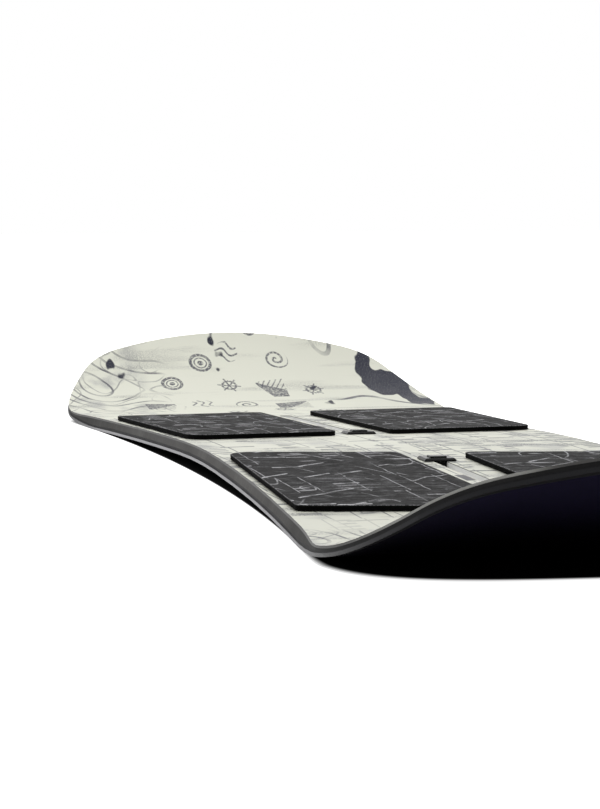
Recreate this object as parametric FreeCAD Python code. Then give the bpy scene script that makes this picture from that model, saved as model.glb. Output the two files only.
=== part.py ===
import FreeCAD, Part
import math
import os
from FreeCAD import Vector as V

# Powder snowboard with four foam stomp pads. X runs tail to nose, Y is the width,
# Z is up and zero at the two contact lines of the running base. All sizes in mm.

# Plan outline: hollow side arcs, then shoulder, corner and end arcs at each tip.
LENGTH = 1300.0
WAIST = 248.0
FLARE = 22.5
WIDEST_IN = 147.0
SHOULDER_R = 236.0
CORNER_R = 55.0
TIP_R = 259.0

# Side profile: a short centre arc, straight runs under the feet, two kick arcs.
RUN_SLOPE = math.radians(1.07)
CENTRE_X = 72.0
CONTACT_IN = 230.5
KICK_R = 890.0
KICK_TURN = math.radians(6.4)
TIP_KICK_R = 278.0

# Layer thicknesses, from the running base upwards.
THICK_MID = 9.0
THICK_TIP = 5.0
BASE_T = 1.3
TANG_T = 0.5
LOW_GLASS_T = 0.6
UP_GLASS_T = 0.7
TOP_T = 0.5

# Edges, sidewalls and tip spacers.
EDGE_W = 2.2
TANG_W = 5.0
LAMINATE_INSET = 0.3
RIM_INSET = 0.4
TOP_INSET = 0.6
BEVEL = 2.1
BEVEL_END = 0.5
BEVEL_LAND = 1.3
BEVEL_IN = 200.0
BEVEL_STATIONS = 5
SIDEWALL_W = 9.0
SIDEWALL_IN = 150.0
CORE_END_IN = 85.0

# Channels under the feet and the pieces that slide in them.
SLOT_X0 = 104.0
SLOT_X1 = 386.0
SLOT_W = 8.0
GROOVE_W = 12.4
GROOVE_OVER = 3.0
RAIL_W = 20.0
RAIL_END = 8.0
RAIL_FLOOR = 0.9
GROOVE_H = 2.4
SLIDE_GAP = 0.2
STEM_IN = 3.0
STEM_L = 14.0
CAP_BACK = 5.0
CAP_FRONT = 1.0
CAP_LAP = 5.5
CAP_T = 1.7
CAP_SLOPE = 1.1
TIER_L = 9.0
TIER_W = 10.0
TIER_T = 0.8
TIER_SLOPE = 0.4

# Foam pads.
PAD_X = 237.5
PAD_L = 287.0
PAD_SLANT = math.tan(math.radians(11.1))
PAD_GAP = 37.8
PAD_MARGIN = 7.0
PAD_R = 6.0
PAD_HEEL_R = 14.0
FILM_T = 0.3
FILM_INSET = 1.0
FOAM_T = 2.3
SKIN_T = 0.8
SKIN_BEVEL = 0.7

OVER = 8.0
DEPTH = 200.0
TALL = 120.0
HALF_L = LENGTH / 2
WIDEST = WAIST + 2 * FLARE
WIDEST_X = HALF_L - WIDEST_IN
CONTACT_X = HALF_L - CONTACT_IN
BEVEL_FULL_X = HALF_L - BEVEL_IN
SIDEWALL_X = HALF_L - SIDEWALL_IN
STEM_X = SLOT_X0 + STEM_IN + STEM_L / 2
CAP_X = STEM_X + (CAP_FRONT - CAP_BACK) / 2
LOW_STACK = BASE_T + TANG_T + LOW_GLASS_T
UP_STACK = UP_GLASS_T + TOP_T


def polar(angle):
    """Unit vector in the XZ plane that leans forward from +Z by the angle."""
    return V(math.sin(angle), 0, math.cos(angle))


# Fixed points of the side profile of the running base, nose half.
RUN_DIR = V(math.cos(RUN_SLOPE), 0, -math.sin(RUN_SLOPE))
RUN_UP = polar(RUN_SLOPE)
KICK_UP = polar(-KICK_TURN)
KICK_C = V(CONTACT_X, 0, KICK_R)
RUN_END = KICK_C - RUN_UP * KICK_R
RUN_START = RUN_END - RUN_DIR * ((RUN_END.x - CENTRE_X) / RUN_DIR.x)
CENTRE_R = CENTRE_X / RUN_UP.x
CENTRE_C = RUN_START - RUN_UP * CENTRE_R
TIP_KICK_C = KICK_C - KICK_UP * (KICK_R - TIP_KICK_R)

# The deck leaves the run later and bends up more tightly, so the tips are thin.
DECK_JOIN = TIP_KICK_C - KICK_UP * (TIP_KICK_R - THICK_TIP)
DECK_RISE = (DECK_JOIN - RUN_START).dot(RUN_UP) - THICK_MID
DECK_KICK_R = DECK_RISE / (1 - math.cos(RUN_SLOPE + KICK_TURN))
DECK_KICK_C = DECK_JOIN + KICK_UP * DECK_KICK_R


def arc(centre, start, end):
    """The shorter arc about a centre from start to end."""
    radius = (start - centre).Length
    middle = (start - centre) + (end - centre)
    middle.normalize()
    return Part.Arc(start, centre + middle * radius, end).toShape()


def flip_x(p):
    return V(-p.x, p.y, p.z)


def profile(height, kick_c, kick_r, tip_r):
    """Edges of one layer face from the tail end to the nose end."""
    start = RUN_START + RUN_UP * height
    end = kick_c - RUN_UP * kick_r
    join = kick_c - KICK_UP * kick_r
    lean = math.asin((HALF_L + OVER - TIP_KICK_C.x) / tip_r)
    tip = TIP_KICK_C - polar(-lean) * tip_r
    nose = [Part.LineSegment(start, end).toShape(),
            arc(kick_c, end, join),
            arc(TIP_KICK_C, join, tip)]
    tail = [arc(flip_x(TIP_KICK_C), flip_x(tip), flip_x(join)),
            arc(flip_x(kick_c), flip_x(join), flip_x(end)),
            Part.LineSegment(flip_x(end), flip_x(start)).toShape()]
    return tail + [arc(CENTRE_C, flip_x(start), start)] + nose


def above_base(t):
    return profile(t, KICK_C, KICK_R - t, TIP_KICK_R - t)


def below_deck(t):
    return profile(THICK_MID - t, DECK_KICK_C, DECK_KICK_R + t,
                   TIP_KICK_R - THICK_TIP + t)


def slab(low, high):
    """Solid between two profiles, wider than the board."""
    ends = [(low[0].firstVertex().Point, high[0].firstVertex().Point),
            (low[-1].lastVertex().Point, high[-1].lastVertex().Point)]
    sides = [Part.LineSegment(a, b).toShape() for a, b in ends]
    wire = Part.Wire(Part.__sortEdges__(low + high + sides))
    face = Part.Face(wire)
    face.translate(V(0, -DEPTH, 0))
    return face.extrude(V(0, 2 * DEPTH, 0))


def circles_meet(c1, r1, c2, r2):
    """Upper meeting point of two circles in the XY plane."""
    line = c2 - c1
    d = line.Length
    along = (r1 * r1 - r2 * r2 + d * d) / (2 * d)
    across = math.sqrt(r1 * r1 - along * along)
    line.normalize()
    return c1 + line * along + V(-line.y, line.x, 0) * across


# Arc centres of the plan outline, +X +Y quarter.
SIDE_PLUS_SHOULDER = (WIDEST_X ** 2 + FLARE ** 2) / (2 * FLARE)
SIDE_R = SIDE_PLUS_SHOULDER - SHOULDER_R
SIDE_C = V(0, WAIST / 2 + SIDE_R, 0)
SHOULDER_C = V(WIDEST_X, WIDEST / 2 - SHOULDER_R, 0)
TIP_C = V(HALF_L - TIP_R, 0, 0)
CORNER_C = circles_meet(TIP_C, TIP_R - CORNER_R, SHOULDER_C, SHOULDER_R - CORNER_R)


def toward(centre, radius, target):
    step = target - centre
    step.normalize()
    return centre + step * radius


def quarter(inset):
    """Joins between the outline arcs, from the side to the tip."""
    side = toward(SIDE_C, SIDE_R + inset, SHOULDER_C)
    shoulder = toward(SHOULDER_C, SHOULDER_R - inset, CORNER_C)
    tip = toward(TIP_C, TIP_R - inset, CORNER_C)
    return side, shoulder, tip


def outline(inset):
    """Face of the board outline moved inwards all round."""
    side, shoulder, tip = quarter(inset)
    edges = []
    for sx in (1, -1):
        for sy in (1, -1):
            def put(p):
                return V(p.x * sx, p.y * sy, 0)
            edges.append(arc(put(SHOULDER_C), put(side), put(shoulder)))
            edges.append(arc(put(CORNER_C), put(shoulder), put(tip)))
        end = V(sx * tip.x, tip.y, 0)
        edges.append(Part.Arc(end, V(sx * (HALF_L - inset), 0, 0),
                              V(end.x, -end.y, 0)).toShape())
    for sy in (1, -1):
        edges.append(Part.Arc(V(-side.x, sy * side.y, 0),
                              V(0, sy * (WAIST / 2 - inset), 0),
                              V(side.x, sy * side.y, 0)).toShape())
    return Part.Face(Part.Wire(Part.__sortEdges__(edges)))


def prism(face):
    """Tall vertical solid on a plan face."""
    low = face.copy()
    low.translate(V(0, 0, -TALL))
    return low.extrude(V(0, 0, 2 * TALL))


def half_width(x):
    """Half the board width at a station on the side arc or the shoulder."""
    x = abs(x)
    join = quarter(0)[0]
    if x < join.x:
        return SIDE_C.y - math.sqrt(SIDE_R ** 2 - x * x)
    return SHOULDER_C.y + math.sqrt(SHOULDER_R ** 2 - (x - SHOULDER_C.x) ** 2)


def arc_height(centre, radius, x, sign):
    return centre.z + sign * math.sqrt(radius ** 2 - (x - centre.x) ** 2)


def base_height(x):
    """Height of the running base at a station."""
    x = abs(x)
    if x < CENTRE_X:
        return arc_height(CENTRE_C, CENTRE_R, x, 1)
    if x < RUN_END.x:
        return RUN_START.z - (x - CENTRE_X) * math.tan(RUN_SLOPE)
    return arc_height(KICK_C, KICK_R, x, -1)


def deck_height(x):
    """Height of the deck at a station, up to the end of the first kick arc."""
    x = abs(x)
    leave = DECK_KICK_C - RUN_UP * DECK_KICK_R
    if x < CENTRE_X:
        return arc_height(CENTRE_C, CENTRE_R + THICK_MID, x, 1)
    if x < leave.x:
        rise = THICK_MID / math.cos(RUN_SLOPE)
        return RUN_START.z + rise - (x - CENTRE_X) * math.tan(RUN_SLOPE)
    return arc_height(DECK_KICK_C, DECK_KICK_R, x, -1)


def bevel_section(x, side):
    """Closed outline of what the sidewall cutter removes at one station."""
    run_out = max(0.0, abs(x) - BEVEL_FULL_X) / (SIDEWALL_X - BEVEL_FULL_X)
    bevel = BEVEL + (BEVEL_END - BEVEL) * min(1.0, run_out)
    land = base_height(x) + LOW_STACK + BEVEL_LAND
    low = V(x, half_width(x) - RIM_INSET, land)
    high = V(x, half_width(x) - bevel, deck_height(x))
    slope = high - low
    low, high = low - slope, high + slope
    outside = half_width(x) + OVER
    points = [low, high, V(x, outside, high.z), V(x, outside, low.z)]
    return Part.makePolygon([V(p.x, side * p.y, p.z) for p in points + points[:1]])


def bevel_cutter(side):
    """What the planer takes off along one sidewall."""
    nose = [BEVEL_FULL_X * k / BEVEL_STATIONS for k in range(1, BEVEL_STATIONS + 1)]
    nose += [(BEVEL_FULL_X + SIDEWALL_X) / 2, SIDEWALL_X]
    stations = [-x for x in reversed(nose)] + [0.0] + nose
    return Part.makeLoft([bevel_section(x, side) for x in stations], True)


def core_plan():
    """Plan of the wood core: inside the sidewalls, with rounded ends."""
    edges = []
    radius = TIP_R - CORE_END_IN
    wide = WIDEST / 2
    reach = TIP_C.x + math.sqrt(radius ** 2 - wide ** 2)
    for s in (1, -1):
        edges.append(Part.Arc(V(s * reach, -wide, 0), V(s * (TIP_C.x + radius), 0, 0),
                              V(s * reach, wide, 0)).toShape())
        edges.append(Part.LineSegment(V(-reach, s * wide, 0),
                                      V(reach, s * wide, 0)).toShape())
    capsule = Part.Face(Part.Wire(Part.__sortEdges__(edges)))
    return outline(SIDEWALL_W).common(capsule).Faces[0]


def stadium(x0, x1, width):
    """Slot-shaped plan face along X with round ends."""
    r = width / 2
    edges = [Part.LineSegment(V(x0 + r, -r, 0), V(x1 - r, -r, 0)).toShape(),
             Part.Arc(V(x1 - r, -r, 0), V(x1, 0, 0), V(x1 - r, r, 0)).toShape(),
             Part.LineSegment(V(x1 - r, r, 0), V(x0 + r, r, 0)).toShape(),
             Part.Arc(V(x0 + r, r, 0), V(x0, 0, 0), V(x0 + r, -r, 0)).toShape()]
    return Part.Face(Part.Wire(edges))


def mirror_x(shape):
    return shape.mirror(V(0, 0, 0), V(1, 0, 0))


def both_feet(shape):
    """A cutter under the nose foot and its mirror image under the tail foot."""
    return [shape, mirror_x(shape)]


def core_zone():
    return slab(above_base(LOW_STACK), below_deck(UP_STACK))


def running_base():
    sheet = slab(above_base(0), above_base(BASE_T))
    return sheet.common(prism(outline(EDGE_W)))


def steel_edge():
    """Square running edge with a thin tang that lies on the base sheet."""
    head = slab(above_base(0), above_base(BASE_T + TANG_T))
    head = head.common(prism(outline(0).cut(outline(EDGE_W))))
    tang = slab(above_base(BASE_T), above_base(BASE_T + TANG_T))
    ring = outline(EDGE_W).cut(outline(EDGE_W + TANG_W))
    return head.fuse(tang.common(prism(ring))).removeSplitter()


def lower_laminate():
    """Glass layer that fills inside the tang and covers it."""
    fill = slab(above_base(BASE_T), above_base(BASE_T + TANG_T))
    fill = fill.common(prism(outline(EDGE_W + TANG_W)))
    cover = slab(above_base(BASE_T + TANG_T), above_base(LOW_STACK))
    cover = cover.common(prism(outline(LAMINATE_INSET)))
    return fill.fuse(cover).removeSplitter()


def wood_core():
    pocket = prism(stadium(SLOT_X0 - RAIL_END, SLOT_X1 + RAIL_END, RAIL_W))
    return core_zone().common(prism(core_plan())).cut(both_feet(pocket))


def sidewall(side):
    """Plastic strip beside the core, planed to a slope on its outer face."""
    strip = outline(RIM_INSET).cut(outline(SIDEWALL_W))
    box = Part.makeBox(2 * SIDEWALL_X, DEPTH, 2 * TALL, V(-SIDEWALL_X, 0, -TALL))
    if side < 0:
        box.translate(V(0, -DEPTH, 0))
    wall = core_zone().common(prism(strip)).common(box)
    return wall.cut(bevel_cutter(side))


def tip_spacer():
    """Plastic filler round the end of the core at the nose."""
    plan = outline(RIM_INSET).cut(core_plan())
    box = Part.makeBox(HALF_L, 2 * DEPTH, 2 * TALL, V(SIDEWALL_X, -DEPTH, -TALL))
    return core_zone().common(prism(plan)).common(box)


def deck_layer(low, high):
    """A full-size upper layer with the channel slots and the planed sides."""
    layer = slab(below_deck(low), below_deck(high))
    layer = layer.common(prism(outline(TOP_INSET)))
    slots = both_feet(prism(stadium(SLOT_X0, SLOT_X1, SLOT_W)))
    return layer.cut(slots + [bevel_cutter(1), bevel_cutter(-1)])


def channel_rail():
    """T-slot insert in the core under the nose foot."""
    block = core_zone().common(
        prism(stadium(SLOT_X0 - RAIL_END, SLOT_X1 + RAIL_END, RAIL_W)))
    floor = LOW_STACK + RAIL_FLOOR
    groove = slab(above_base(floor), above_base(floor + GROOVE_H)).common(
        prism(stadium(SLOT_X0 - GROOVE_OVER, SLOT_X1 + GROOVE_OVER, GROOVE_W)))
    mouth = slab(above_base(floor), above_base(THICK_MID)).common(
        prism(stadium(SLOT_X0, SLOT_X1, SLOT_W)))
    return block.cut([groove, mouth])


def on_run(shape):
    """Move a shape built over a level base line onto the sloping nose run."""
    shape.rotate(V(0, 0, 0), V(0, 1, 0), math.degrees(RUN_SLOPE))
    shape.translate(RUN_START)
    return shape


def slider_box(middle, length, width, z0, height):
    """Box about a station on the centre line, over a level base line."""
    corner = V(middle - length / 2 - CENTRE_X, -width / 2, z0)
    return Part.makeBox(length, width, height, corner)


def faces_up(face):
    u0, u1, v0, v1 = face.ParameterRange
    return face.normalAt((u0 + u1) / 2, (v0 + v1) / 2).z > 0.9


def top_edges(shape):
    """Outer edges of the upward faces."""
    ups = [f for f in shape.Faces if faces_up(f)]
    edges = [e for f in ups for e in f.Edges]
    return [e for e in edges if sum(e.isSame(o) for o in edges) == 1]


def slider_foot():
    """T-shaped slider: a foot under the lips and a stem up through the slot."""
    floor = LOW_STACK + RAIL_FLOOR + SLIDE_GAP
    foot = slider_box(STEM_X, STEM_L, GROOVE_W - 2 * SLIDE_GAP, floor,
                      GROOVE_H - 2 * SLIDE_GAP)
    stem = slider_box(STEM_X, STEM_L, SLOT_W - 2 * SLIDE_GAP, floor,
                      THICK_MID + SLIDE_GAP - floor)
    return on_run(foot.fuse(stem).removeSplitter())


def slider_cap():
    """Two-tier cap that lies over the slot."""
    deck = THICK_MID + SLIDE_GAP
    plate = slider_box(CAP_X, CAP_BACK + STEM_L + CAP_FRONT, SLOT_W + 2 * CAP_LAP,
                       deck, CAP_T)
    plate = plate.makeChamfer(CAP_SLOPE, top_edges(plate))
    tier = slider_box(CAP_X, TIER_L, TIER_W, deck + CAP_T, TIER_T)
    tier = tier.makeChamfer(TIER_SLOPE, top_edges(tier))
    return on_run(plate.fuse(tier).removeSplitter())


def pad_plan(side, inset):
    """Plan face of one nose pad: slanted ends, outer side along the board edge."""
    def end(x, y):
        return V(x + PAD_SLANT * side * y, side * y, 0)
    x0 = PAD_X - PAD_L / 2 + inset
    x1 = PAD_X + PAD_L / 2 - inset
    inner = PAD_GAP / 2 + inset
    quad = [end(x0, inner), end(x1, inner), end(x1, DEPTH), end(x0, DEPTH)]
    face = Part.Face(Part.makePolygon(quad + quad[:1]))
    face = face.common(outline(PAD_MARGIN + inset)).Faces[0]
    solid = face.extrude(V(0, 0, 1))
    uprights = [e for e in solid.Edges if e.BoundBox.ZLength > 0.5]
    heel = [e for e in uprights
            if abs(e.CenterOfMass.y) > WAIST / 4 and e.CenterOfMass.x < PAD_X]
    others = [e for e in uprights if not any(e.isSame(h) for h in heel)]
    solid = solid.makeFillet(PAD_R - inset, others)
    at = heel[0].CenterOfMass
    heel = [e for e in solid.Edges if (e.CenterOfMass - at).Length < 0.1]
    solid = solid.makeFillet(PAD_HEEL_R - inset, heel)
    return [f for f in solid.Faces if f.CenterOfMass.z < 0.01][0]


def pad_plate(low, high, side, inset=0.0):
    """One flat layer of a pad, over a level base line."""
    plan = pad_plan(side, inset)
    plan.translate(V(-CENTRE_X, 0, THICK_MID + low))
    return plan.extrude(V(0, 0, high - low))


def pad_film(side):
    return on_run(pad_plate(0, FILM_T, side, FILM_INSET))


def pad_foam(side):
    return on_run(pad_plate(FILM_T, FILM_T + FOAM_T, side))


def pad_skin(side):
    """Textured top layer with its rim cut at a slope."""
    low = FILM_T + FOAM_T
    plate = pad_plate(low, low + SKIN_T, side)
    return on_run(plate.makeChamfer(SKIN_BEVEL, top_edges(plate)))


def build():
    parts = {
        "running_base": running_base(),
        "steel_edge": steel_edge(),
        "lower_laminate": lower_laminate(),
        "wood_core": wood_core(),
        "sidewall_left": sidewall(-1),
        "sidewall_right": sidewall(1),
        "tip_spacer_nose": tip_spacer(),
        "upper_laminate": deck_layer(UP_STACK, TOP_T),
        "topsheet": deck_layer(TOP_T, 0),
        "channel_rail_nose": channel_rail(),
        "slider_foot_nose": slider_foot(),
        "slider_cap_nose": slider_cap(),
    }
    for side, name in ((-1, "left"), (1, "right")):
        parts["pad_film_nose_" + name] = pad_film(side)
        parts["pad_foam_nose_" + name] = pad_foam(side)
        parts["pad_skin_nose_" + name] = pad_skin(side)
    for name in [n for n in parts if "_nose" in n]:
        parts[name.replace("_nose", "_tail")] = mirror_x(parts[name])
    return parts


os.makedirs("parts", exist_ok=True)
for name, shape in build().items():
    shape.exportStep("parts/" + name + ".step")
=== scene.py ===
import math
from functools import partial

import bmesh
import bpy
from mathutils import Matrix, Vector


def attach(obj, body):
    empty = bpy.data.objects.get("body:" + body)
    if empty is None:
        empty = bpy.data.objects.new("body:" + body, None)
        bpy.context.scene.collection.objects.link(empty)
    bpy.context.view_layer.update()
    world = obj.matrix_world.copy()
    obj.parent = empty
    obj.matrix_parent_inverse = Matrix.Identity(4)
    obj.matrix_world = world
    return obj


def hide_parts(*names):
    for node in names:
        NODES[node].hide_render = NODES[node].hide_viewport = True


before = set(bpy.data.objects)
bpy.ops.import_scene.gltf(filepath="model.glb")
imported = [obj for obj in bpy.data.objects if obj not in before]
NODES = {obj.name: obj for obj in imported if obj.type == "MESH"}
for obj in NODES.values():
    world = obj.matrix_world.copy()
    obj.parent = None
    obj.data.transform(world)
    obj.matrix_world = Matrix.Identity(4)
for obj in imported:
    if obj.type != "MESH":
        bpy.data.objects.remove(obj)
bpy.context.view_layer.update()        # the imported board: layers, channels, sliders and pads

MM = 0.001

# The camera, solved from the outline of the board for a picture of 600 x 809.
SENSOR = 36.0            # mm, along the picture's height
LENS = 135.80766         # mm
CAMERA_AT = (1.83915, -0.40393, 0.15528)
YAW, PITCH, ROLL = -0.18494, 0.06081, -0.00568
CLIP_NEAR, CLIP_FAR = 0.05, 200.0

# The floor, and a painted shade of the board on it, as wide as the board and a little shorter.
FLOOR_SIZE = 60.0
FLOOR_COLOUR = (0.86, 0.86, 0.86)
FLOOR_PAINTED_SHADE = (0.02, 0.02, 0.02)
SHADE_WAIST = 0.124                           # half its width in the middle
SHADE_FLARE, SHADE_WIDEST_X = 0.0225, 0.503   # added to that where it is widest
SHADE_TIP_X, SHADE_TIP = 0.42, 0.158          # where its rounded ends start, and their length
SHADE_POWER = 4.3                             # 2 rounds the ends as an ellipse, more is squarer
SHADE_SOFT_MIDDLE, SHADE_SOFT_TIP = 0.006, 0.035
SHADE_SOFT_X = (0.38, 0.56)

# The sky and the lamp.
SKY_TOP, SKY_SIDE, SKY_FRONT = 0.95, 0.50, 0.06
SUN_LEVEL = 0.75
SUN_SPREAD = math.radians(40)
SUN_TILT = (math.radians(-18), math.radians(6), 0)

# Colours, linear.
CREAM = (0.80, 0.805, 0.70)
INK = (0.060, 0.062, 0.092)
INK_WASH = (0.24, 0.245, 0.28)
INK_DARK = (0.018, 0.020, 0.040)
PRINTED_BLOCK = (0.105, 0.104, 0.112)
# The layers' edge in the channels, and a painted highlight at the shoulders of the ends.
PALE_EDGE = (0.34, 0.34, 0.32)
DARK_EDGE = (0.095, 0.093, 0.090)
DARK_GLASS = (0.020, 0.020, 0.021)
# The sidewall's planed slope and upright faces: lit and shaded copies of one plastic.
PLANED_LIT = (0.120, 0.117, 0.113)
MOULDED_SHADED = (0.026, 0.0255, 0.026)
TIP_PLASTIC = (0.040, 0.0395, 0.040)
BASE = (0.0068, 0.0056, 0.0150)
STEEL = (0.35, 0.345, 0.365)
# Painted shade for the steel round the two ends.
STEEL_PAINTED_SHADE = (0.030, 0.030, 0.032)
PAD_TOP = (0.028, 0.0275, 0.0275)
PAD_CHALK = (0.54, 0.54, 0.56)
PAD_FOAM = (0.004, 0.004, 0.004)
PAD_FILM = (0.5, 0.5, 0.48)
RAIL = (0.93, 0.93, 0.91)
SLIDER = (0.006, 0.006, 0.006)
WOOD_DARK = (0.52, 0.34, 0.17)
WOOD_LIGHT = (0.66, 0.47, 0.26)
WHITE = (1, 1, 1, 1)

# Places on the deck, in metres from its middle. A pair is where a change starts and is complete.
ENDS_X = (0.425, 0.445)                       # the ends, with the drawings
PADS_END_X = (0.375, 0.395)                   # past the pads, where the ruling is fainter
# The shoulders of the ends, where the layers' edge carries a painted highlight.
HIGHLIGHT_SHOULDER_X, HIGHLIGHT_SHOULDER_Y = (0.54, 0.60), (0.070, 0.090)
CHANNEL_STRIP_Y = (0.014, 0.012)              # the strip that the channels lie in
CHANNELS_END_X = 0.5                          # no channel reaches this far
ICONS_Y = 0.066                               # the small drawings keep within this
HILLS_Y, RIBBON_Y = (-0.056, -0.088), (0.050, 0.078)
SIDES_Y = (0.05, 0.10)                        # where the brushed ink gets darker
BLOCK_X, BLOCK_HALF_LENGTH = 0.2125, 15 * MM
BLOCK_Y, BLOCK_HALF_WIDTH = -7.4 * MM, 2.7 * MM
CHANNEL_LINE_Y, CHANNEL_LINE = 7.2 * MM, 0.8 * MM

# The print.
PEN = 1.35 * MM                               # width of a line in the small drawings
STROKE_SOFT = 0.35 * MM                       # blur at the edge of a stroke
ICON_STRETCH = 1.45                           # the small drawings' length over their width
ACROSS_WIDER = 5.5                            # width of lines across the board over that of others
BAR = 5.4 * MM
WAVE_RATE = 420.0                             # radians a metre
WAVE_HEIGHT, WAVE_GAP = 2.2 * MM, 3.2 * MM
SPIRAL_PITCH = 5.2 * MM
HATCH_GAP, HATCH = 1.8 * MM, 1.0 * MM
FULL_TURN = 6.28                              # radians
SLOPE_STEP = 1.5 * MM                         # the step that a noise's slope is taken over
SLOPE_LEAST = 0.4                             # a slope under this counts as this

WOOD_STRIP = 12 * MM

# The colour sockets of a Mix node.
MIX_AMOUNT, MIX_A, MIX_B, MIX_RESULT = 0, 6, 7, 2


# ---------------------------------------------------------------- shader arithmetic

class Val:
    """A number or colour in the material being made: arithmetic on a number adds Math nodes.

    tree is that material's node tree."""
    tree = None

    def __init__(self, socket):
        self.socket = socket

    def __add__(self, other):
        return node_math("ADD", self, other)

    def __sub__(self, other):
        return node_math("SUBTRACT", self, other)

    def __rsub__(self, other):
        return node_math("SUBTRACT", other, self)

    def __mul__(self, other):
        return node_math("MULTIPLY", self, other)

    def __truediv__(self, other):
        return node_math("DIVIDE", self, other)

    def __abs__(self):
        return node_math("ABSOLUTE", self)


def feed(target, value):
    """Puts a number, colour or Val on an input socket."""
    if isinstance(value, Val):
        Val.tree.links.new(value.socket, target)
    else:
        target.default_value = value


def node(kind, **settings):
    made = Val.tree.nodes.new(kind)
    for name, value in settings.items():
        setattr(made, name, value)
    return made


def node_math(operation, *values):
    made = node("ShaderNodeMath", operation=operation)
    for target, value in zip(made.inputs, values):
        feed(target, value)
    return Val(made.outputs[0])


low = partial(node_math, "MINIMUM")
high = partial(node_math, "MAXIMUM")
floor = partial(node_math, "FLOOR")
fract = partial(node_math, "FRACT")
sine = partial(node_math, "SINE")
cosine = partial(node_math, "COSINE")
power = partial(node_math, "POWER")
above = partial(node_math, "GREATER_THAN")
below = partial(node_math, "LESS_THAN")
zigzag = partial(node_math, "PINGPONG")       # of a value and the top that it turns back at
angle = partial(node_math, "ARCTAN2")         # of y, x


def length(x, y):
    return node_math("SQRT", x * x + y * y)


def ramp(value, start, end, to_start=0.0, to_end=1.0):
    """value taken smoothly from start..end to to_start..to_end, clamped."""
    made = node("ShaderNodeMapRange", interpolation_type="SMOOTHSTEP")
    for target, v in zip(made.inputs, (value, start, end, to_start, to_end)):
        feed(target, v)
    return Val(made.outputs[0])


def vector(x, y, z):
    made = node("ShaderNodeCombineXYZ")
    for target, v in zip(made.inputs, (x, y, z)):
        feed(target, v)
    return Val(made.outputs[0])


def split(socket):
    made = node("ShaderNodeSeparateXYZ")
    Val.tree.links.new(socket, made.inputs[0])
    return [Val(s) for s in made.outputs]


def noise(x, y, z=0.0, scale=1.0, detail=3.0, rough=0.5):
    """Smooth noise about 0.5. On a flat pattern, a fixed z picks one of many such noises."""
    made = node("ShaderNodeTexNoise")
    feed(made.inputs["Vector"], vector(x, y, z))
    made.inputs["Scale"].default_value = scale
    made.inputs["Detail"].default_value = detail
    made.inputs["Roughness"].default_value = rough
    return Val(made.outputs[0])


def rolls(x, y, z=0.0):
    """Three numbers from 0 to 1, random but fixed for each x, y, z."""
    made = node("ShaderNodeTexWhiteNoise", noise_dimensions="3D")
    feed(made.inputs["Vector"], vector(x, y, z))
    return split(made.outputs["Color"])


def mix(amount, a, b):
    """Colour a where amount is 0, b where it is 1."""
    made = node("ShaderNodeMix", data_type="RGBA")
    feed(made.inputs[MIX_AMOUNT], amount)
    feed(made.inputs[MIX_A], a if isinstance(a, Val) else (*a, 1))
    feed(made.inputs[MIX_B], b if isinstance(b, Val) else (*b, 1))
    return Val(made.outputs[MIX_RESULT])


def tint(colour, amount):
    """colour times amount, a Val about 1."""
    made = node("ShaderNodeVectorMath", operation="SCALE")
    feed(made.inputs[0], colour)
    feed(made.inputs["Scale"], amount)
    return Val(made.outputs[0])


def varied(colour, pattern, least, most):
    """colour made darker and lighter by a noise, from least to most times itself."""
    return tint(colour, ramp(pattern, 0.3, 0.7, least, most))


def bump(height, depth):
    made = node("ShaderNodeBump")
    made.inputs["Distance"].default_value = depth
    feed(made.inputs["Height"], height)
    return Val(made.outputs[0])


def material(name):
    """A new material, its shader, and the place on the object as three Vals."""
    made = bpy.data.materials.new(name)
    made.use_nodes = True
    Val.tree = made.node_tree
    place = node("ShaderNodeTexCoord").outputs["Object"]
    return made, Val.tree.nodes["Principled BSDF"], split(place)


def facing_up():
    """The z of the surface's normal: 1 on a level top, 0 on an upright side."""
    return split(node("ShaderNodeTexCoord").outputs["Normal"])[2]


def surface(shader, colour, rough, spec, height, depth):
    """Sets a shader's colour, roughness and specular level, and a bump of that depth."""
    feed(shader.inputs["Base Color"], colour)
    feed(shader.inputs["Roughness"], rough)
    shader.inputs["Specular IOR Level"].default_value = spec
    feed(shader.inputs["Normal"], bump(height, depth))


# ---------------------------------------------------------------- printed motifs

def stroke(distance, width):
    """Ink where distance is under half of width, with a soft edge."""
    half = width / 2
    return ramp(distance, half - STROKE_SOFT, half + STROKE_SOFT, 1.0, 0.0)


def rings(far, radius):
    """A thick ring, a thin one inside it and a dot."""
    drawn = high(stroke(abs(far - radius * 0.85), 1.9 * PEN), stroke(far, radius * 0.5))
    return high(drawn, stroke(abs(far - radius * 0.52), PEN * 0.8))


def crystal(far, turn, radius):
    """Six arms with a bar across each."""
    sector = zigzag(turn + math.pi, math.pi / 6)
    aside = far * sine(sector)
    bar = stroke(abs(far * cosine(sector) - radius * 0.58), PEN * 1.4)
    return high(stroke(aside, PEN), bar * ramp(aside, radius * 0.28, radius * 0.32, 1.0, 0.0))


def wedge(u, v, radius):
    """A mountain-like wedge, solid on one side and hatched on the other."""
    edge = high(abs(u) * 1.25 - v - radius * 0.75, 0 - v - radius * 0.6)
    inside = ramp(edge, 0.0, 0.4 * MM, 1.0, 0.0)
    return inside * high(above(u, 0.0), stroke(zigzag(v, HATCH_GAP), HATCH))


def waves(u, v):
    return stroke(zigzag(v + sine(u * WAVE_RATE) * WAVE_HEIGHT, WAVE_GAP), 1.3 * PEN)


def spiral(far, turn):
    wound = fract(far / SPIRAL_PITCH - turn / (2 * math.pi))
    return stroke(abs(wound - 0.5) * SPIRAL_PITCH, 1.3 * PEN)


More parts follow.
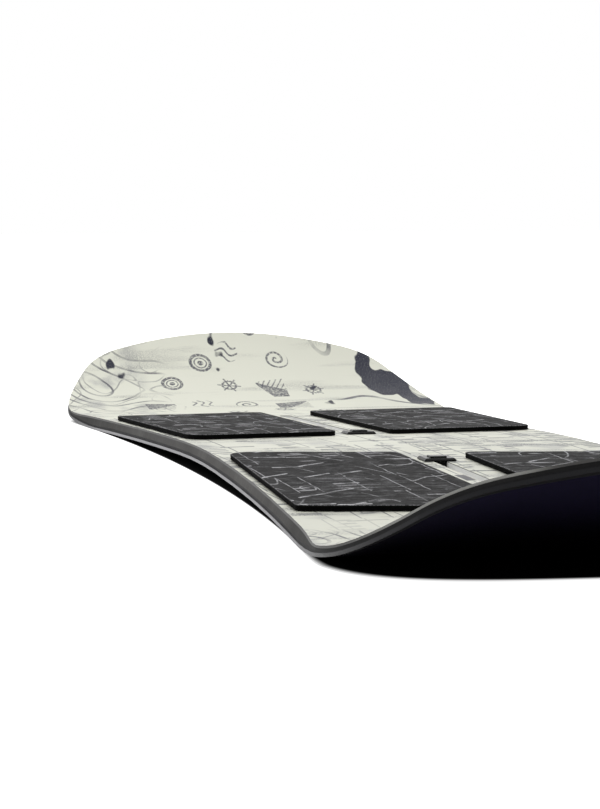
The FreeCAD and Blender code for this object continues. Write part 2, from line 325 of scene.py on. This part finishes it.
def motif(u, v, kind, radius):
    """One of five small drawings about the middle of a cell, by kind from 0 to 1."""
    far = length(u, v)
    turn = angle(v, u)
    inside = ramp(far, radius, radius + 0.6 * MM, 1.0, 0.0)
    shapes = (rings(far, radius), crystal(far, turn, radius) * inside, wedge(u, v, radius),
              waves(u, v) * inside, spiral(far, turn) * inside)
    drawn = 0.0
    for n, shape in enumerate(shapes):
        chosen = above(kind, n / len(shapes)) * below(kind, (n + 1) / len(shapes))
        drawn = shape * chosen + drawn
    return drawn


def scattered(x, y, cell, radius, seed, share, side):
    """Small drawings, one to a cell of a loose grid, in a share of the cells near the middle."""
    row = floor(x / cell)
    odd = fract(row * 0.5)
    column = floor(y / cell + odd)
    shift_x, shift_y, kind = rolls(row, column, seed)
    shown, spin, _ = rolls(row, column, seed + 5.0)
    u = x - (row + 0.5 + (shift_x - 0.5) * 0.5) * cell
    middle = (column + 0.5 - odd + (shift_y - 0.5) * 0.4) * cell
    v = y - middle
    cos_spin = cosine(spin * FULL_TURN)
    sin_spin = sine(spin * FULL_TURN)
    drawn = motif(u * cos_spin - v * sin_spin, u * sin_spin + v * cos_spin, kind, radius)
    return drawn * below(shown, share) * below(abs(middle), side)


def cell_of(x, y, cell_x, cell_y, seed):
    """The row and column of a point in a grid, and three random numbers for that cell."""
    row = floor(x / cell_x)
    column = floor(y / cell_y)
    return row, column, rolls(row, column, seed)


def drafting(x, y, cell_x, cell_y, seed, share, width):
    """Long thin ruled lines along both axes, broken off at random cells."""
    row, column, (shift_y, shift_x, pick) = cell_of(x, y, cell_x, cell_y, seed)
    along = abs(y - (column + 0.2 + shift_y * 0.6) * cell_y)
    across = abs(x - (row + 0.2 + shift_x * 0.6) * cell_x)
    lines = stroke(along, width) * below(pick, share)
    return high(lines, stroke(across, width * ACROSS_WIDER) * above(pick, 1.0 - share * 0.8))


def dashes(x, y, cell_x, cell_y, seed, share):
    """Short bars across the board in a share of the cells, some darker than others."""
    row, column, (shift_x, dark, pick) = cell_of(x, y, cell_x, cell_y, seed)
    u = x - (row + 0.3 + shift_x * 0.4) * cell_x
    v = y - (column + 0.5) * cell_y
    bar = stroke(abs(u), BAR) * ramp(abs(v), cell_y * 0.28, cell_y * 0.34, 1.0, 0.0)
    return bar * below(pick, share) * (dark * 0.45 + 0.55)


def contours(x, y, seed, scale, levels, width):
    """Lines of equal height over a smooth random landscape."""
    here = noise(x, y, seed, scale=scale, detail=1.0)
    slope_x = (noise(x + SLOPE_STEP, y, seed, scale=scale, detail=1.0) - here) / SLOPE_STEP
    slope_y = (noise(x, y + SLOPE_STEP, seed, scale=scale, detail=1.0) - here) / SLOPE_STEP
    steep = high(length(slope_x, slope_y), SLOPE_LEAST) * levels
    return stroke(abs(fract(here * levels) - 0.5) / steep, width)


def patches(x, y, seed, scale, start, end):
    """1 in large soft patches, 0 between them."""
    return ramp(noise(x, y, seed, scale=scale, detail=1.0), start, end)


# ---------------------------------------------------------------- the deck

def in_channels(x, y):
    """1 in the strip along the middle that the two channels lie in."""
    return ramp(abs(y), *CHANNEL_STRIP_Y) * below(abs(x), CHANNELS_END_X)


def channel_edge_and_shoulder_highlight(x, y):
    """1 where a layer's edge is drawn pale: in the channels, and as a painted highlight at the
    shoulders of the ends.
    """
    shoulder_highlight = ramp(abs(x), *HIGHLIGHT_SHOULDER_X) * ramp(abs(y), *HIGHLIGHT_SHOULDER_Y)
    return high(shoulder_highlight, in_channels(x, y))


def printed_block(x, y):
    """1 in a small plain block printed beside each channel."""
    along = ramp(abs(abs(x) - BLOCK_X), BLOCK_HALF_LENGTH, BLOCK_HALF_LENGTH + 1 * MM, 1.0, 0.0)
    return along * ramp(abs(y - BLOCK_Y), BLOCK_HALF_WIDTH, BLOCK_HALF_WIDTH + 0.3 * MM, 1.0, 0.0)


def end_drawings(x, y):
    """Small drawings in the middle, contour lines on the -Y side and a ribbon on the +Y side."""
    wobble = noise(x, y, scale=38.0, detail=2.0) - 0.5
    bent_x = x + wobble * 4.0 * MM
    bent_y = y + (noise(x, y, z=3.0, scale=38.0, detail=2.0) - 0.5) * 3.0 * MM
    press = ramp(noise(x, y, z=9.0, scale=30.0), 0.35, 0.6, 0.35, 1.0)
    drift = wobble * 0.09
    icons = scattered(bent_x / ICON_STRETCH, bent_y, cell=34 * MM, radius=9.2 * MM, seed=37.0,
                      share=0.86, side=ICONS_Y)
    speckle = noise(x * 0.7, y, z=21.0, scale=520.0, detail=2.0)
    icons = icons * ramp(speckle, 0.36, 0.5, 0.45, 1.0)
    hills = contours(bent_x * 0.6, bent_y, seed=11.0, scale=10.0, levels=15.0, width=1.7 * MM)
    small = contours(bent_x * 0.7, bent_y, seed=23.0, scale=19.0, levels=9.0, width=1.2 * MM)
    hills = high(hills, small * 0.7) * press * ramp(y + drift, *HILLS_Y)
    ribbon = contours(bent_x * 0.6, bent_y, seed=31.0, scale=8.0, levels=9.0, width=3.2 * MM)
    ribbon = ribbon * press * ramp(y + drift, *RIBBON_Y)
    return high(icons, high(hills, ribbon))


def middle_ruling(x, y):
    """Ruled lines, rows of bars, and a line beside each channel."""
    rules = drafting(x, y, cell_x=0.13, cell_y=0.019, seed=1.0, share=0.42, width=0.9 * MM)
    tilted = drafting(x + y * 0.2, y - x * 0.05, cell_x=0.07, cell_y=0.022, seed=8.0, share=0.4,
                      width=0.7 * MM)
    hatch = dashes(x + y * 0.2, y, cell_x=0.0115, cell_y=0.026, seed=6.0, share=0.85)
    hatch = hatch * patches(x * 0.5, y, seed=12.0, scale=24.0, start=0.50, end=0.56)
    bars = dashes(x, y, cell_x=0.022, cell_y=0.019, seed=4.0, share=0.22)
    beside = stroke(abs(abs(y) - CHANNEL_LINE_Y), CHANNEL_LINE)
    beside = beside * ramp(noise(x, y, z=8.0, scale=30.0), 0.46, 0.5)
    ruled = high(high(high(rules, tilted), beside), high(bars, hatch))
    return ruled * ramp(abs(x), *PADS_END_X, 1.0, 0.35)


def topsheet_ink(x, y, ends, grain, wear):
    """How much ink is on the deck: drawings at the two ends, ruled lines between them."""
    drawn = end_drawings(x, y) * ends
    ruled = middle_ruling(x, y) * (1.0 - ends)
    pressed = (ramp(abs(y), *SIDES_Y) * 0.35 + 0.65) * (1.0 - ends * 0.5)
    brush = noise(x * 1.1, y * 0.2, z=5.0, scale=46.0, detail=4.0)
    brush = ramp(brush, 0.53, 0.68) * pressed * ramp(grain, 0.35, 0.6)
    ink = high(high(drawn, ruled), brush)
    return ink * ramp(wear, 0.25, 0.6, 0.7, 1.0) * ramp(grain, 0.3, 0.65, 0.75, 1.0)


def topsheet_material():
    """Cream sheet with a worn print, and the cut edge of the layers at its rim."""
    made, shader, (x, y, _) = material("printed_topsheet")
    grain = noise(x, y, scale=900.0, detail=2.0)
    wear = noise(x, y, z=7.0, scale=60.0, detail=4.0)
    ends = ramp(abs(x), *ENDS_X)
    # Blots of ink gather on the +Y side of the ends.
    clouds = noise(x * 0.5, y, z=17.0, scale=26.0, detail=2.5, rough=0.55)
    blot = ramp(clouds + ramp(y, 0.045, 0.105, -0.14, 0.0), 0.53, 0.545) * ends
    # A pale wash lies on the -Y side of the ends and between them.
    wash = noise(x * 0.7, y, z=29.0, scale=30.0, detail=3.0)
    wash = ramp(wash, 0.5, 0.64) * ramp(grain, 0.3, 0.6, 0.5, 1.0)
    wash = wash * high(ends * ramp(y, -0.07, -0.09) * 0.5, (1.0 - ends) * 0.4)
    # Painted shade: the sheet is a little darker towards the nose and towards its +Y side.
    paper_and_shade = varied(CREAM, noise(x, y, scale=6.0), 0.98, 1.01)
    paper_and_shade = tint(paper_and_shade, ramp(x, -0.35, 0.35, 1.03, 0.89) * ramp(y, 0.0, 0.14, 1.0, 0.94))
    colour = mix(wash, paper_and_shade, INK_WASH)
    colour = mix(topsheet_ink(x, y, ends, grain, wear), colour, INK)
    colour = mix(printed_block(x, y), colour, PRINTED_BLOCK)
    colour = mix(blot * ramp(grain, 0.25, 0.5, 0.8, 1.0), colour, INK_DARK)
    # The rim: dark, pale in the channels, with a painted highlight at the shoulders of the ends.
    rim = mix(channel_edge_and_shoulder_highlight(x, y), DARK_EDGE, PALE_EDGE)
    colour = mix(ramp(facing_up(), 0.60, 0.66), rim, colour)
    surface(shader, colour, ramp(wear, 0.2, 0.8, 0.36, 0.46), 0.10, grain, 0.02 * MM)
    return made


# ---------------------------------------------------------------- the other materials

def sidewall_material(name, upright_colour):
    """Dark plastic, more scuffed where it was planed to a slope, and paler there as painted light
    on a face that tilts up; darker towards the two ends as painted shade.
    """
    made, shader, (x, y, z) = material(name)
    cuts = noise(x, y, z * 0.2, scale=420.0, detail=2.0)
    slow = noise(x, y, z, scale=16.0)
    # Painted light: faces that tilt up take the paler planed colour.
    planed_and_lit = ramp(facing_up(), 0.10, 0.22)
    colour = varied(mix(planed_and_lit, upright_colour, PLANED_LIT), slow, 0.80, 1.12)
    # Painted shade: darker towards the two ends.
    colour = tint(varied(colour, cuts, 0.92, 1.08), ramp(abs(x), 0.24, 0.46, 1.0, 0.55))
    surface(shader, colour, planed_and_lit * 0.14 + 0.46, 0.03, cuts, 0.03 * MM)
    return made


def pad_marks(x, y, pebble, patch):
    """Chalk-like ruling, loops and hatching, smears and dust on a pad."""
    wobble = noise(x, y, scale=55.0, detail=2.0) - 0.5
    bent_x = x + wobble * 4.0 * MM
    bent_y = y + wobble * 2.0 * MM
    lines = drafting(bent_x, bent_y, cell_x=0.075, cell_y=0.018, seed=21.0, share=0.5,
                     width=0.6 * MM)
    lines = lines * patches(x * 0.5, y, seed=14.0, scale=22.0, start=0.40, end=0.48)
    tilted = drafting(bent_x * 0.9 + bent_y * 0.9, bent_y * 0.9 - bent_x * 0.22, cell_x=0.05,
                      cell_y=0.02, seed=27.0, share=0.45, width=0.55 * MM)
    loops = contours(bent_x * 0.3, bent_y, seed=41.0, scale=17.0, levels=8.0, width=0.65 * MM)
    gate = patches(x * 0.5, y, seed=9.0, scale=26.0, start=0.46, end=0.52)
    hatch = dashes(x + y * 0.3, y, cell_x=0.012, cell_y=0.024, seed=33.0, share=0.8)
    hatch = hatch * patches(x * 0.4, y, seed=19.0, scale=34.0, start=0.55, end=0.60)
    chalk = high(high(lines, hatch * 0.7), high(tilted * gate, loops * (1.0 - gate)))
    broken = ramp(noise(x * 0.5, y, z=24.0, scale=110.0), 0.40, 0.52, 0.38, 1.0)
    chalk = chalk * broken * ramp(pebble, 0.3, 0.6, 0.5, 1.0)
    smear = noise(x * 0.9, y * 0.16, z=28.0, scale=120.0, detail=4.0, rough=0.65)
    smear = ramp(smear, 0.52, 0.68) * ramp(pebble, 0.3, 0.6, 0.2, 1.0) * 0.38
    smear = smear * patches(x * 0.5, y, seed=36.0, scale=20.0, start=0.46, end=0.58)
    dust = noise(x * 0.35, y * 0.22, z=4.0, scale=420.0, detail=5.0, rough=0.75)
    dust = ramp(dust, 0.44, 0.76) * ramp(patch, 0.35, 0.65, 0.25, 0.8) * 0.34
    return high(chalk, high(smear, dust))


def pad_skin_material():
    """Charcoal rubber, pebbled and dusty, with a painted highlight at its upper rim and painted
    shade down its sides.
    """
    made, shader, (x, y, z) = material("rubber_pad_skin")
    up = facing_up()
    pebble = noise(x * 0.35, y, z, scale=1500.0, detail=2.0)
    patch = noise(x * 0.4, y, z, scale=45.0, detail=4.0)
    rubber = tint(PAD_TOP, ramp(pebble, 0.25, 0.75, 0.55, 1.45))
    # Painted shade: darker down the sides.
    rubber = tint(rubber, ramp(up, 0.5, 0.9, 0.3, 1.0))
    # Painted highlight along the upper rim.
    rim_highlight = ramp(up, 0.985, 0.96) * ramp(up, 0.62, 0.75) * ramp(pebble, 0.4, 0.6, 0.1, 0.9)
    marks = pad_marks(x, y, pebble, patch) * above(up, 0.9)
    colour = mix(high(marks, rim_highlight * 0.5), rubber, PAD_CHALK)
    surface(shader, colour, ramp(patch, 0.3, 0.7, 0.66, 0.78), 0.03, pebble, 0.10 * MM)
    return made


def steel_material():
    """Ground steel along the sides, with painted shade darkening it where the edge runs round the
    two ends.
    """
    made, shader, (x, y, z) = material("ground_steel")
    fine = noise(x * 0.05, y, z, scale=2500.0)
    # Painted shade: dark round the two ends.
    colour = mix(ramp(abs(x), 0.37, 0.53, 1.0, 0.0), STEEL_PAINTED_SHADE, STEEL)
    shader.inputs["Metallic"].default_value = 1.0
    surface(shader, varied(colour, fine, 0.92, 1.08), ramp(fine, 0.3, 0.7, 0.30, 0.40), 0.5,
            fine, 0.02 * MM)
    return made


def laminate_material():
    """Pale glass laminate: cut grey along the sides, pale in the channels, with a painted highlight
    at the shoulders of the ends.
    """
    made, shader, (x, y, z) = material("pale_laminate")
    fine = noise(x, y, z, scale=1800.0)
    colour = mix(channel_edge_and_shoulder_highlight(x, y), DARK_EDGE, PALE_EDGE)
    colour = mix(in_channels(x, y), colour, RAIL)
    surface(shader, varied(colour, fine, 0.93, 1.07), 0.45, 0.3, fine, 0.03 * MM)
    return made


def plain(name, colour, rough, spec, scale, spread, depth):
    """A moulded or cut surface: fine grain, slow colour change and a bump of its own."""
    made, shader, (x, y, z) = material(name)
    fine = noise(x, y, z, scale=scale)
    slow = noise(x, y, z, scale=14.0)
    colour = varied(colour, fine, 1 - spread, 1 + spread)
    colour = varied(colour, slow, 1 - spread / 2, 1 + spread / 2)
    surface(shader, colour, ramp(fine, 0.3, 0.7, rough - 0.05, rough + 0.05), spec, fine, depth)
    return made


def base_material():
    """Near-black structured base: fine grooves along the board, with painted shade darker away from
    its ends and painted light paler at them.
    """
    made, shader, (x, y, z) = material("sintered_base")
    fine = noise(x * 0.04, y, z, scale=1500.0)
    slow = noise(x, y, z, scale=14.0)
    colour = varied(varied(BASE, fine, 0.75, 1.25), slow, 0.88, 1.12)
    # Painted shade and light: darker away from the ends, paler at them.
    colour = tint(colour, ramp(abs(x), 0.56, 0.645, 0.25, 1.25))
    surface(shader, colour, ramp(fine, 0.3, 0.7, 0.40, 0.50), 0.03, fine, 0.02 * MM)
    return made


def rail_material():
    """Pale moulded rail, with fine marks along its length."""
    made, shader, (x, y, z) = material("rail_plastic")
    fine = noise(x * 0.05, y, z, scale=1600.0)
    surface(shader, varied(RAIL, fine, 0.92, 1.05), ramp(fine, 0.3, 0.7, 0.40, 0.50), 0.4,
            fine, 0.03 * MM)
    return made


def wood_material():
    """Strips of wood glued side by side, each with its own tone and grain."""
    made, shader, (x, y, z) = material("laminated_wood")
    strip = rolls(floor(y / WOOD_STRIP), 0.0)[0]
    grain = noise(x * 0.05, y + strip * 3.0, z, scale=700.0, detail=4.0)
    colour = mix(ramp(grain, 0.35, 0.65), WOOD_DARK, WOOD_LIGHT)
    surface(shader, tint(colour, strip * 0.25 + 0.85), 0.6, 0.5, grain, 0.05 * MM)
    return made


def all_looks():
    """Each material by the start of the names of the CAD nodes that wear it."""
    return {
        "topsheet": topsheet_material(),
        "running_base": base_material(),
        "steel_edge": steel_material(),
        "lower_laminate": plain("dark_laminate", DARK_GLASS, rough=0.5, spec=0.05, scale=1800.0,
                                spread=0.2, depth=0.03 * MM),
        "upper_laminate": laminate_material(),
        "wood_core": wood_material(),
        "sidewall": sidewall_material("sidewall_plastic", MOULDED_SHADED),
        "tip_spacer": sidewall_material("tip_plastic", TIP_PLASTIC),
        "channel_rail": rail_material(),
        "slider": plain("slider_plastic", SLIDER, rough=0.18, spec=0.06, scale=2200.0,
                        spread=0.2, depth=0.01 * MM),
        "pad_film": plain("adhesive_film", PAD_FILM, rough=0.3, spec=0.5, scale=900.0,
                          spread=0.05, depth=0.03 * MM),
        "pad_foam": plain("cut_foam", PAD_FOAM, rough=0.85, spec=0.03, scale=3200.0,
                          spread=0.5, depth=0.2 * MM),
        "pad_skin": pad_skin_material(),
    }


def dress(looks):
    """Gives every CAD node its material."""
    for name, obj in NODES.items():
        look = next(made for start, made in looks.items() if name.startswith(start))
        obj.data.materials.clear()
        obj.data.materials.append(look)


# ---------------------------------------------------------------- pads

# The rims, from the bottom up: how far each ring is moved in, and its height, in mm.
FOAM_RIM = ((0.3, 0.0), (0.05, 0.25), (0.12, 0.8), (0.2, 1.15), (0.12, 1.6), (0.0, 2.1), (0.1, 2.3))
SKIN_RIM = ((0.1, 0.0), (0.0, 0.12), (0.02, 0.3), (0.14, 0.52), (0.36, 0.68), (0.7, 0.76),
            (1.4, 0.8), (4.0, 0.82))
FOAM_CROWN, SKIN_CROWN = 0.0, 0.15            # mm, how far the middle rises over the rim
CROWN_RINGS = (0.93, 0.8, 0.6, 0.35, 0.12)    # shares of the way out from the middle
CROWN_POWER = 4
RIM_STEP = 6 * MM                             # longest side of an outline
SAME_HEIGHT = 0.1 * MM
TO_MICRON = 6                                 # decimals of a metre
SHARP = math.radians(40)


def plate_frame(mesh):
    """Unit vectors along, across and up from a flat tilted plate, from its largest facet."""
    best = max(mesh.polygons, key=lambda p: p.area)
    up = best.normal if best.normal.z > 0 else -best.normal
    along = Vector((up.z, 0, -up.x)).normalized()
    return along, Vector((0, 1, 0)), up.normalized()


def turn_of(a, b, c):
    """Above 0 where a, b, c turn left."""
    return (b[0] - a[0]) * (c[1] - a[1]) - (b[1] - a[1]) * (c[0] - a[0])


def outline_of(obj):
    """The plate's convex outline in its own plane, the height of its underside and its axes."""
    along, across, up = plate_frame(obj.data)
    heights = [v.co.dot(up) for v in obj.data.vertices]
    bottom = min(heights)
    points = sorted({(round(v.co.dot(along), TO_MICRON), round(v.co.dot(across), TO_MICRON))
                     for v, h in zip(obj.data.vertices, heights) if h < bottom + SAME_HEIGHT})
    hull = []
    for run in (points, points[::-1]):
        start = len(hull)
        for p in run:
            while len(hull) > start + 1 and turn_of(hull[-2], hull[-1], p) <= 0:
                hull.pop()
            hull.append(p)
        hull.pop()
    return [Vector(p) for p in hull], bottom, (along, across, up)


def divided(loop, longest):
    """The loop with its long sides cut into equal steps."""
    out = []
    for a, b in zip(loop, loop[1:] + loop[:1]):
        steps = max(1, math.ceil((b - a).length / longest))
        out += [a.lerp(b, k / steps) for k in range(steps)]
    return out


def moved_in(loop, inset):
    """Every point of a convex loop moved inwards, square to the loop."""
    out = []
    for a, p, b in zip(loop[-1:] + loop[:-1], loop, loop[1:] + loop[:1]):
        tangent = (b - a).normalized()
        out.append(p + Vector((-tangent.y, tangent.x)) * inset)
    return out


def plate_mesh(name, source, rim, crown):
    """A plate on a CAD node's outline, with a shaped rim and a slightly raised middle."""
    loop, bottom, (along, across, up) = outline_of(source)
    loop = divided(loop, RIM_STEP)
    middle = sum(loop, Vector((0, 0))) / len(loop)
    mesh = bmesh.new()

    def ring(points, height):
        return [mesh.verts.new(along * p.x + across * p.y + up * (bottom + height * MM))
                for p in points]

    rows = [ring(moved_in(loop, inset * MM), height) for inset, height in rim]
    top_inset, top = rim[-1]
    inner = moved_in(loop, top_inset * MM)
    for share in CROWN_RINGS:
        rows.append(ring([middle.lerp(p, share) for p in inner],
                         top + crown * (1 - share ** CROWN_POWER)))
    for a, b in zip(rows, rows[1:]):
        for k in range(len(a)):
            n = (k + 1) % len(a)
            mesh.faces.new((a[k], a[n], b[n], b[k]))
    mesh.faces.new(rows[0][::-1])
    mesh.faces.new(rows[-1])
    bmesh.ops.recalc_face_normals(mesh, faces=mesh.faces)
    for f in mesh.faces:
        f.smooth = True
    data = bpy.data.meshes.new(name)
    mesh.to_mesh(data)
    mesh.free()
    data.set_sharp_from_angle(angle=SHARP)
    return data


def pad_layer(name, node_name, rim, crown, look):
    """One layer of a pad, in the place of its CAD node."""
    data = plate_mesh(name, NODES[node_name], rim, crown)
    data.materials.append(look)
    made = bpy.data.objects.new(name, data)
    bpy.context.scene.collection.objects.link(made)
    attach(made, "board")
    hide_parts(node_name)


def pads(foam, skin):
    for end in ("nose", "tail"):
        for side in ("left", "right"):
            where = end + "_" + side
            pad_layer("foam_core_" + where, "pad_foam_" + where, FOAM_RIM, FOAM_CROWN, foam)
            pad_layer("rubber_skin_" + where, "pad_skin_" + where, SKIN_RIM, SKIN_CROWN, skin)


# ---------------------------------------------------------------- studio

def camera():
    data = bpy.data.cameras.new("camera")
    data.sensor_width = SENSOR
    data.lens = LENS
    data.clip_start = CLIP_NEAR
    data.clip_end = CLIP_FAR
    cam = bpy.data.objects.new("camera", data)
    bpy.context.scene.collection.objects.link(cam)
    ahead = Vector((-math.cos(YAW) * math.cos(PITCH), -math.sin(YAW) * math.cos(PITCH),
                    -math.sin(PITCH)))
    level = ahead.cross(Vector((0, 0, 1))).normalized()
    over = level.cross(ahead)
    right = level * math.cos(ROLL) + over * math.sin(ROLL)
    up = over * math.cos(ROLL) - level * math.sin(ROLL)
    turn = Matrix((right, up, -ahead)).transposed().to_4x4()
    cam.matrix_world = Matrix.Translation(CAMERA_AT) @ turn
    bpy.context.scene.camera = cam


def light_path():
    """1 for what is seen directly or through glass, and 1 for what is seen in a reflection."""
    rays = node("ShaderNodeLightPath").outputs
    direct = high(Val(rays["Is Camera Ray"]), Val(rays["Is Transmission Ray"]))
    return direct, Val(rays["Is Glossy Ray"])


def clear_of_painted_shade(x, y):
    """0 on the floor in the board's painted shade, 1 clear of it; the edge is wider at the ends."""
    reach = abs(x)
    share = low(reach / SHADE_WIDEST_X, 1.0)
    half = share * share * SHADE_FLARE + SHADE_WAIST
    tip = high(reach - SHADE_TIP_X, 0.0) / SHADE_TIP
    out = power(power(abs(y) / half, SHADE_POWER) + power(tip, SHADE_POWER), 1 / SHADE_POWER)
    soft = ramp(reach, *SHADE_SOFT_X, SHADE_SOFT_MIDDLE, SHADE_SOFT_TIP)
    return ramp(out, 1.0 - soft, soft + 1.0)


def floor_material():
    """Matt and pale, seen as white, but painted dark as shade under the board."""
    made, shader, (x, y, _) = material("pale_floor")
    clear = clear_of_painted_shade(x, y)
    # Painted shade: dark colour and no glow on the floor under the board.
    feed(shader.inputs["Base Color"], mix(clear, FLOOR_PAINTED_SHADE, FLOOR_COLOUR))
    shader.inputs["Roughness"].default_value = 0.9
    shader.inputs["Specular IOR Level"].default_value = 0.0
    direct, _ = light_path()
    shader.inputs["Emission Color"].default_value = WHITE
    feed(shader.inputs["Emission Strength"], direct * clear)
    return made


def floor_plane():
    mesh = bpy.data.meshes.new("floor")
    half = FLOOR_SIZE / 2
    mesh.from_pydata([(-half, -half, 0), (half, -half, 0), (half, half, 0), (-half, half, 0)],
                     [], [(0, 1, 2, 3)])
    mesh.materials.append(floor_material())
    ground = bpy.data.objects.new("floor", mesh)
    bpy.context.scene.collection.objects.link(ground)


def sky():
    """Soft light from above, little from ahead of the nose, and white where it is seen."""
    world = bpy.data.worlds.new("world")
    bpy.context.scene.world = world
    world.use_nodes = True
    Val.tree = world.node_tree
    background = Val.tree.nodes["Background"]
    x, _, z = split(node("ShaderNodeTexCoord").outputs["Generated"])
    lit = ramp(z, 0.0, 0.9, SKY_SIDE, SKY_TOP)
    ahead = ramp(x, 0.2, 0.8) * ramp(z, 0.85, 0.45)
    lit = lit + ahead * (SKY_FRONT - lit)
    direct, mirrored = light_path()
    seen = high(direct, mirrored * ramp(x, -0.2, -0.7))
    background.inputs["Color"].default_value = WHITE
    feed(background.inputs["Strength"], lit + seen * (1.0 - lit))


def lamp():
    data = bpy.data.lights.new("overhead", "SUN")
    data.energy = SUN_LEVEL
    data.angle = SUN_SPREAD
    overhead = bpy.data.objects.new("overhead", data)
    overhead.rotation_euler = SUN_TILT
    bpy.context.scene.collection.objects.link(overhead)


looks = all_looks()
dress(looks)
pads(looks["pad_foam"], looks["pad_skin"])
camera()
floor_plane()
sky()
lamp()
bpy.context.scene.view_settings.view_transform = "Standard"
